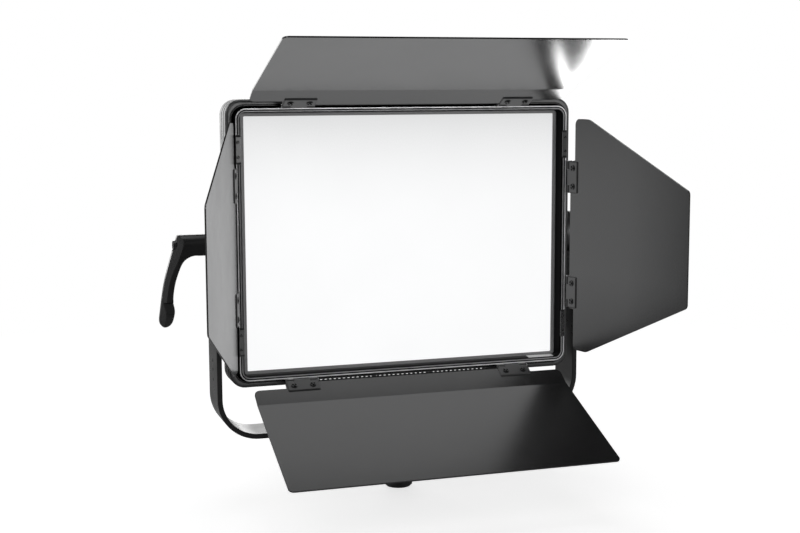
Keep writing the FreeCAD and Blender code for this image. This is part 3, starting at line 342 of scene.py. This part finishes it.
def bezel_plastic():
    """matte moulding: a lighter flat border beside the diffuser, black sloping walls"""
    m = Mat("bezel_plastic")
    _, y, z = m.xyz()
    lo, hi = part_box("front_bezel")
    back, bottom = hi[1], lo[2]
    fine = m.noise(scale=1900.0, detail=3.0)
    slow = m.noise(scale=20.0, detail=4.0)
    lip = m.remap(y, over=(back - 0.0025, back - 0.0019))
    lower_wall = m.remap(z, over=(bottom + 0.005, bottom + 0.006), to=(1.0, 0.0))
    col = m.mix(lip, (0.004, 0.004, 0.0042), (0.185, 0.185, 0.188))
    tone = m.swing(slow, by=0.1, about=1.0) + m.swing(fine, by=0.07)
    gloss = lower_wall * m.remap(y, over=(back - 0.0080, back - 0.0030), to=(0.0, 0.62))
    lip_gloss = m.remap(lip, over=(0.0, 1.0), to=(0.03, 0.5))
    m.set({"Base Color": m.scaled(col, by=tone),
           "Specular IOR Level": m.math("MAXIMUM", lip_gloss, gloss),
           "Roughness": 0.46 + m.swing(slow, by=0.06),
           "Normal": m.bump(fine, strength=0.2, distance=0.00006)})


def frame_ring():
    """the barn door frame: painted highlight lines on the front rims, coloured light like bare
    metal, channel and sides black
    """
    m = Mat("frame_ring")
    left, front = FRAME_LO[0], FRAME_LO[1]
    x, y, _ = m.xyz()
    outline = frame_outline_distance(m)
    fine = m.noise(scale=2000.0, detail=3.0)
    mid = m.noise(scale=70.0, detail=5.0, rough=0.65)
    # painted highlight: the front rims are coloured light where they would catch the light
    rim_highlight = m.remap(y, over=(front + 0.00050, front + 0.00022))
    rim_highlight = rim_highlight * m.remap(mid, over=(0.35, 0.6), to=(0.75, 1.0))
    # the painted highlight is made weaker on the inner rim and on the left side
    rim_highlight = rim_highlight * m.remap(outline, over=(-0.0018, -0.0012), to=(0.45, 1.0))
    rim_highlight = rim_highlight * m.remap(x, over=(left + 0.004, left + 0.016), to=(0.62, 1.0))
    col = m.mix(rim_highlight, (0.003, 0.003, 0.0032), (0.66, 0.66, 0.67))
    m.set({"Base Color": m.scaled(col, by=1.0 + m.swing(fine, by=0.10)),
           "Metallic": rim_highlight * 0.25,
           "Specular IOR Level": m.remap(rim_highlight, over=(0.0, 1.0), to=(0.05, 0.5)),
           "Roughness": 0.42 + mid * -0.12,
           "Normal": m.bump(fine, strength=0.08, distance=0.00004)})


def socket_screws():
    """black oxide socket screws: painted shade (ambient occlusion) blackens the recess,
    burnished head
    """
    m = Mat("socket_screws")
    # painted shade: where ambient occlusion finds a recess, the colour goes near black and the
    # specular to none
    outside_painted_recess_shade = m.remap(m.openness(0.0016), over=(0.68, 0.95))
    cloud = m.noise(scale=300.0, detail=4.0)
    fine = m.noise(scale=2400.0, detail=2.0, rough=0.5)
    head = m.mix(cloud, (0.016, 0.016, 0.0165), (0.026, 0.026, 0.0265))
    m.set({"Base Color": m.mix(outside_painted_recess_shade, (0.001, 0.001, 0.001), head),
           "Specular IOR Level": m.remap(outside_painted_recess_shade, over=(0.0, 1.0), to=(0.0, 0.65)),
           "Roughness": 0.30 + m.swing(cloud, by=0.06),
           "Normal": m.bump(fine, strength=0.08, distance=0.00003)})


def diffuser_white():
    """opal sheet lit from behind: frosted grain, a slow fall-off to the top edge"""
    m = Mat("diffuser_white")
    lo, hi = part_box("diffuser_panel")
    _, _, z = m.xyz()
    grain = m.noise(scale=900.0, detail=3.0)
    cloud = m.noise(scale=14.0, detail=3.0, rough=0.5)
    rise = m.math("POWER", m.remap(z, over=(lo[2] + 0.10, hi[2] - 0.004)), 3.3)
    level = 1.012 - rise * 0.26
    level = level + m.swing(cloud, by=0.010)
    grain_gain = m.remap(rise, over=(0.0, 0.6), to=(0.6, 1.6))
    level = level + m.swing(grain, by=0.014) * grain_gain
    # red and green a touch below blue
    tint = m.make("CombineColor", 0, {0: level * 0.990, 1: level * 0.995, 2: level})
    m.set({"Base Color": m.mix(grain, (0.10, 0.10, 0.10), (0.14, 0.14, 0.14)),
           "Roughness": 0.5 + m.swing(grain, by=0.05),
           "Emission Color": tint, "Emission Strength": 0.93,
           "Normal": m.bump(grain, strength=0.12, distance=0.00006)})


def board_green():
    """green solder mask over copper lines"""
    m = Mat("board_green")
    cells = m.voronoi(scale=1.0, feature="DISTANCE_TO_EDGE", random=0.35,
                      vector=m.mapping(scale=(260.0, 260.0, 260.0)))
    line = m.remap(cells, over=(0.05, 0.09), to=(1.0, 0.0))
    col = m.mix(line, (0.010, 0.075, 0.030), (0.030, 0.150, 0.060))
    fine = m.noise(scale=900.0, detail=3.0)
    m.set({"Base Color": m.mix(fine * 0.25, col, (0.02, 0.06, 0.03)),
           "Roughness": 0.28 + fine * 0.12,
           "Normal": m.bump(line, strength=0.2, distance=0.00004)})


# ---------------------------------------------------------------------------
# all materials, and which piece wears which
# ---------------------------------------------------------------------------
DOOR_COAT = dict(color=(0.018, 0.018, 0.0185), rough=0.235, ior=1.72, wear=0.8,
                 wear_radius=0.0007, wear_color=(0.006, 0.006, 0.006), mottle=0.06,
                 smudge=0.02, grain_bump=0.07)
painted("door_paint", **DOOR_COAT)
# the right door's coat, with a painted fall-off of its sheen
painted("door_paint_sheen_fade", **DOOR_COAT, sheen_fade_part="door_right")
painted("leaf_paint", color=(0.022, 0.022, 0.0225), rough=0.33, ior=1.70, wear=0.35,
        wear_radius=0.0004, wear_color=(0.08, 0.08, 0.081), mottle=0.06, smudge=0.03,
        grain_bump=0.07)
painted("frame_paint", color=(0.016, 0.016, 0.0165), rough=0.30, ior=1.6, wear=0.75,
        wear_radius=0.0006, wear_color=(0.16, 0.16, 0.162), mottle=0.06)
housing_paint()
painted("yoke_paint", color=(0.020, 0.020, 0.0206), rough=0.30, ior=1.40, wear=0.5,
        wear_radius=0.0006, wear_color=(0.12, 0.12, 0.122), grain_bump=0.12)
painted("spigot_steel", color=(0.030, 0.030, 0.031), rough=0.30, ior=1.8, wear=1.0,
        wear_radius=0.0010, wear_color=(0.30, 0.295, 0.29), mottle=0.12, grain_bump=0.05)
plastic("lever_plastic", color=(0.026, 0.026, 0.0265), rough=0.30, grain=0.0005,
        grain_bump=0.14)
plastic("knob_plastic", color=(0.018, 0.018, 0.019), rough=0.48, grain=0.0004,
        grain_bump=0.16)
plastic("socket_plastic", color=(0.020, 0.020, 0.021), rough=0.45, grain=0.0005,
        grain_bump=0.16)
plastic("gasket_rubber", color=(0.020, 0.020, 0.020), rough=0.75, grain=0.0009,
        grain_bump=0.4, wear=0.0)
black_steel()
metal("bright_steel", color=(0.55, 0.55, 0.56), rough=0.28, line_scale=(900.0, 900.0, 120.0))
metal("sink_aluminium", color=(0.72, 0.72, 0.74), rough=0.42,
      line_scale=(300.0, 300.0, 20.0), wear=0.0)
metal("supply_case", color=(0.60, 0.60, 0.62), rough=0.38,
      line_scale=(20.0, 400.0, 400.0), wear=0.3)
bezel_plastic()
frame_ring()
socket_screws()
diffuser_white()
simple("reflector_white", color=(0.86, 0.86, 0.86), rough=0.6, scale=1200.0, bump=0.1, tone=0.03)
simple("led_yellow", color=(0.80, 0.62, 0.12), rough=0.35, scale=2200.0, bump=0.1, tone=0.05)
simple("window_dark", color=(0.006, 0.006, 0.008), rough=0.08, scale=1200.0, bump=0.01, tone=0.1)
simple("label_grey", color=(0.80, 0.80, 0.80), rough=0.34, scale=900.0, bump=0.06, tone=0.12)
board_green()

SLOTS = {part["node"]: part["material_slot"] for part in frame["record"]["subparts"]}
# pieces that differ from their slot's material
OWN_MATERIAL = {"barn_door_frame": "frame_ring", "door_right": "door_paint_sheen_fade",
                "clip_screws": "socket_screws"}

for name, ob in NODES.items():
    if name.startswith("hinge_fasteners"):
        material_name = "socket_screws"
    else:
        material_name = OWN_MATERIAL.get(name) or SLOTS[name]
    ob.data.materials.clear()
    ob.data.materials.append(MATERIALS[material_name])


# ---------------------------------------------------------------------------
# rounder edges on the CAD pieces
# ---------------------------------------------------------------------------
def geometry_group(name):
    """an empty geometry node group, with its source and result sockets"""
    group = bpy.data.node_groups.new(name, "GeometryNodeTree")
    for direction in ("INPUT", "OUTPUT"):
        group.interface.new_socket("Geometry", in_out=direction,
                                   socket_type="NodeSocketGeometry")
    source = group.nodes.new("NodeGroupInput").outputs[0]
    result = group.nodes.new("NodeGroupOutput").inputs[0]
    return group, source, result


def weld_group():
    """joins the split corners of the imported triangles and drops their stored normals"""
    group, source, result = geometry_group("weld_corners")
    forget = group.nodes.new("GeometryNodeRemoveAttribute")
    forget.inputs["Name"].default_value = "custom_normal"
    merge = group.nodes.new("GeometryNodeMergeByDistance")
    merge.inputs["Distance"].default_value = 2e-6
    group.links.new(source, forget.inputs["Geometry"])
    group.links.new(forget.outputs[0], merge.inputs["Geometry"])
    group.links.new(merge.outputs[0], result)
    return group


def smooth_group(degrees):
    """smooth shading that stops at edges sharper than the given angle"""
    group, source, result = geometry_group("smooth_%d" % degrees)
    faces = group.nodes.new("GeometryNodeSetShadeSmooth")
    faces.domain = "FACE"
    faces.inputs["Shade Smooth"].default_value = True
    edges = group.nodes.new("GeometryNodeSetShadeSmooth")
    edges.domain = "EDGE"
    edges.inputs["Shade Smooth"].default_value = False
    angle = group.nodes.new("GeometryNodeInputMeshEdgeAngle")
    sharper = group.nodes.new("ShaderNodeMath")
    sharper.operation = "GREATER_THAN"
    sharper.inputs[1].default_value = math.radians(degrees)
    group.links.new(angle.outputs[0], sharper.inputs[0])
    group.links.new(sharper.outputs[0], edges.inputs["Selection"])
    group.links.new(source, faces.inputs["Geometry"])
    group.links.new(faces.outputs[0], edges.inputs["Geometry"])
    group.links.new(edges.outputs[0], result)
    return group


WELD = weld_group()
SMOOTH = smooth_group(degrees=32)

# bevel width: the pieces that get it; the others get no bevel
BEVELS = {
    0.0009: "tilt_lever",
    0.00035: "door_top door_bottom door_left door_right stand_spigot",
    0.0003: "barn_door_frame main_housing rear_cover yoke_bar lever_base_washer power_inlet "
            "power_rocker spigot_lock_screw pivot_bolt fan_frames",
    0.00025: "left_dial centre_dial right_dial",
    0.0002: "switch_housing signal_sockets menu_button_1 menu_button_2 menu_button_3 "
            "spigot_bolt pivot_washer display_window safety_eye",
    0.00018: "hinge_leaves_top hinge_leaves_bottom hinge_leaves_left hinge_leaves_right "
             "hinge_brackets",
    0.00015: "front_bezel frame_clips",
    0.0001: "hinge_fasteners_top hinge_fasteners_bottom hinge_fasteners_left "
            "hinge_fasteners_right bracket_rivets rear_cover_screws",
    0.00008: "label_plates",
    0.00006: "clip_screws",
}
BEVEL_WIDTH = {name: width for width, names in BEVELS.items() for name in names.split()}


def refine(ob, width):
    """weld, merge flat faces, bevel the edges if a width is given, then smooth"""
    ob.modifiers.new("weld", "NODES").node_group = WELD
    flats = ob.modifiers.new("flats", "DECIMATE")
    flats.decimate_type = "DISSOLVE"
    flats.angle_limit = math.radians(0.4)
    if width > 0:
        bevel = ob.modifiers.new("edges", "BEVEL")
        bevel.limit_method = "ANGLE"
        bevel.angle_limit = math.radians(38.0)
        bevel.width = width
        bevel.segments = 2
        bevel.use_clamp_overlap = True
        bevel.miter_outer = "MITER_ARC"
        bevel.harden_normals = False
    ob.modifiers.new("smooth", "NODES").node_group = SMOOTH
    normals = ob.modifiers.new("flat_faces_stay_flat", "WEIGHTED_NORMAL")
    normals.mode = "FACE_AREA"
    normals.weight = 100
    normals.keep_sharp = True


def surface_area(mesh):
    mesh.calc_loop_triangles()
    return sum(triangle.area for triangle in mesh.loop_triangles)


AREA_TOLERANCE = 0.035   # share of the surface area a sound modifier may change


def guard(step):
    """merging coplanar faces can close a ring-shaped face: drop the modifier where the
    surface area shows that the piece was damaged"""
    bpy.context.view_layer.update()
    depsgraph = bpy.context.evaluated_depsgraph_get()
    for ob in NODES.values():
        modifier = ob.modifiers.get(step)
        if modifier is None:
            continue
        evaluated = ob.evaluated_get(depsgraph)
        after = surface_area(evaluated.to_mesh())
        evaluated.to_mesh_clear()
        before = surface_area(ob.data)
        if abs(after - before) > AREA_TOLERANCE * before:
            ob.modifiers.remove(modifier)


for name, ob in NODES.items():
    refine(ob, BEVEL_WIDTH.get(name, 0.0))
for step in ("flats", "edges"):
    guard(step)

# ---------------------------------------------------------------------------
# floor and world
# ---------------------------------------------------------------------------
FLOOR_RADIUS = 9.0
FLOOR_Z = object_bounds()[0][2] - 0.0002   # just below the lowest piece
FLOOR_GLOW = 0.74                      # extra emission seen by the camera only


def floor_disc():
    mesh = bpy.data.meshes.new("floor")
    bm = bmesh.new()
    bmesh.ops.create_circle(bm, cap_ends=True, radius=FLOOR_RADIUS, segments=96)
    for vert in bm.verts:
        vert.co.z = FLOOR_Z
    bm.to_mesh(mesh)
    bm.free()
    ob = bpy.data.objects.new("floor", mesh)
    scene.collection.objects.link(ob)
    return ob


def floor_pale():
    """pale matte floor that fades to plain white away from the origin"""
    m = Mat("floor_pale")
    place = m.make("NewGeometry", "Position")
    reach = m.make("VectorMath", "Value", {0: place}, operation="LENGTH")
    far = m.remap(reach, over=(0.30, 1.10))
    fine = m.noise(scale=90.0, detail=3.0)
    seen = m.make("LightPath", "Is Camera Ray")
    white = (1, 1, 1, 1)
    glow = m.make("Emission", 0, {"Color": white,
                                  "Strength": seen * FLOOR_GLOW + (1.0 - FLOOR_GLOW)})
    m.set({"Base Color": m.mix(fine, (0.78, 0.78, 0.785), (0.80, 0.80, 0.80)),
           "Roughness": 0.85, "Emission Color": white,
           "Emission Strength": seen * FLOOR_GLOW})
    m.feed(m.out.inputs["Surface"], m.mix_shader(far, m.surface, glow))


def studio_world():
    """white to the camera; to everything else brighter below the horizon than above"""
    world = bpy.data.worlds.new("studio")
    scene.world = world
    w = Nodes(world, "OutputWorld", "Generated")
    seen = w.make("LightPath", "Is Camera Ray")
    backdrop = w.make("Background", 0, {"Color": (1, 1, 1, 1), "Strength": 1.0})
    _, _, z = w.xyz()
    ramp = w.node("ValToRGB")
    w.feed(ramp.inputs[0], w.remap(z, over=(-1.0, 1.0)))
    below, above = ramp.color_ramp.elements
    below.position, below.color = 0.45, (0.30, 0.30, 0.30, 1)
    above.position, above.color = 0.62, (0.035, 0.035, 0.035, 1)
    surroundings = w.make("Background", 0, {"Color": Value(w, ramp.outputs[0]),
                                            "Strength": 1.0})
    w.feed(w.out.inputs["Surface"], w.mix_shader(seen, surroundings, backdrop))


floor = floor_disc()
floor_pale()
floor.data.materials.append(MATERIALS["floor_pale"])
studio_world()

# ---------------------------------------------------------------------------
# lights
# ---------------------------------------------------------------------------
MID = (0.0, 0.0, 0.2)   # middle of the product

# pieces that the linked lights reach
FRONT = [NODES[name] for name in (
    "main_housing barn_door_frame front_bezel hinge_brackets frame_clips clip_screws "
    "label_plates bracket_rivets").split()]
REAR_NAMES = (
    "rear_cover rear_cover_screws left_dial centre_dial right_dial menu_button_1 "
    "menu_button_2 menu_button_3 switch_housing power_rocker power_inlet signal_sockets "
    "safety_eye display_window fan_frames fan_rotor_left fan_rotor_right label_plates "
    "main_housing stand_spigot spigot_lock_screw spigot_bolt").split()
REAR = [ob for name, ob in NODES.items() if name in REAR_NAMES]
BEHIND = [NODES[name] for name in (
    "yoke_bar door_top door_left door_right hinge_leaves_top hinge_leaves_right "
    "pivot_bolt pivot_washer friction_discs heatsink").split() if name in NODES]


def area(name, place, radiance, width, height=None, target=MID, receivers=None):
    """a rectangular light (square if no height is given), unseen by the camera"""
    light = bpy.data.lights.new(name, "AREA")
    light.shape = "RECTANGLE"
    light.size = width
    light.size_y = height or width
    light.energy = radiance * math.pi * light.size * light.size_y
    ob = bpy.data.objects.new(name, light)
    ob.location = place
    ob.rotation_mode = "QUATERNION"
    ob.rotation_quaternion = (Vector(target) - Vector(place)).to_track_quat("-Z", "Y")
    ob.visible_camera = False
    scene.collection.objects.link(ob)
    if receivers:
        lit = bpy.data.collections.new(name + "_receivers")
        for piece in receivers:
            lit.objects.link(piece)
        ob.light_linking.receiver_collection = lit


area("key_front_left", place=(-1.6, -2.4, 1.9), radiance=2.2, width=1.6)
area("fill_front_right", place=(2.2, -2.2, 0.9), radiance=1.0, width=1.8)
area("top_soft", place=(0.0, 0.3, 2.6), radiance=1.2, width=1.8)
area("back_wall", place=(0.3, 2.6, 0.55), radiance=2.4, width=3.2, height=1.0,
     target=(0.0, 0.0, 0.25))
area("left_strip", place=(-2.3, 0.2, 0.7), radiance=2.0, width=0.6, height=1.8)
area("front_card", place=(0.55, -2.4, 0.30), radiance=4.2, width=1.5, height=1.0,
     target=(0.0, 0.0, 0.25), receivers=FRONT)
area("rear_soft", place=(1.9, 2.3, 1.3), radiance=4.2, width=2.6, height=1.8,
     receivers=REAR + BEHIND)
area("rear_left", place=(-2.6, 1.7, 1.6), radiance=2.6, width=1.8, height=1.4, receivers=REAR)
# lies on the floor behind the panel and shines straight up
area("door_kicker", place=(0.60, 0.45, FLOOR_Z + 0.01), radiance=9.0, width=0.95, height=1.0,
     target=(0.60, 0.45, FLOOR_Z + 0.45), receivers=[NODES["door_top"]])

# ---------------------------------------------------------------------------
# camera
# ---------------------------------------------------------------------------
# the camera's axes and place in the scene
CAMERA_RIGHT = (0.9508, -0.3098, -0.0036)
CAMERA_UP = (0.0433, 0.1213, 0.9917)
CAMERA_BACK = (-0.3068, -0.943, 0.1288)
CAMERA_PLACE = (-0.4288, -1.3262, 0.368)

camera_data = bpy.data.cameras.new("camera")
camera = bpy.data.objects.new("camera", camera_data)
scene.collection.objects.link(camera)
camera_data.lens = 62.55
camera_data.sensor_width = 36.0
camera_data.clip_start = 0.05
camera_data.clip_end = 50.0
camera.matrix_world = Matrix((
    (*CAMERA_RIGHT, 0), (*CAMERA_UP, 0), (*CAMERA_BACK, 0), (*CAMERA_PLACE, 1))).transposed()
scene.camera = camera
scene.view_settings.view_transform = "Standard"
scene.view_settings.look = "None"
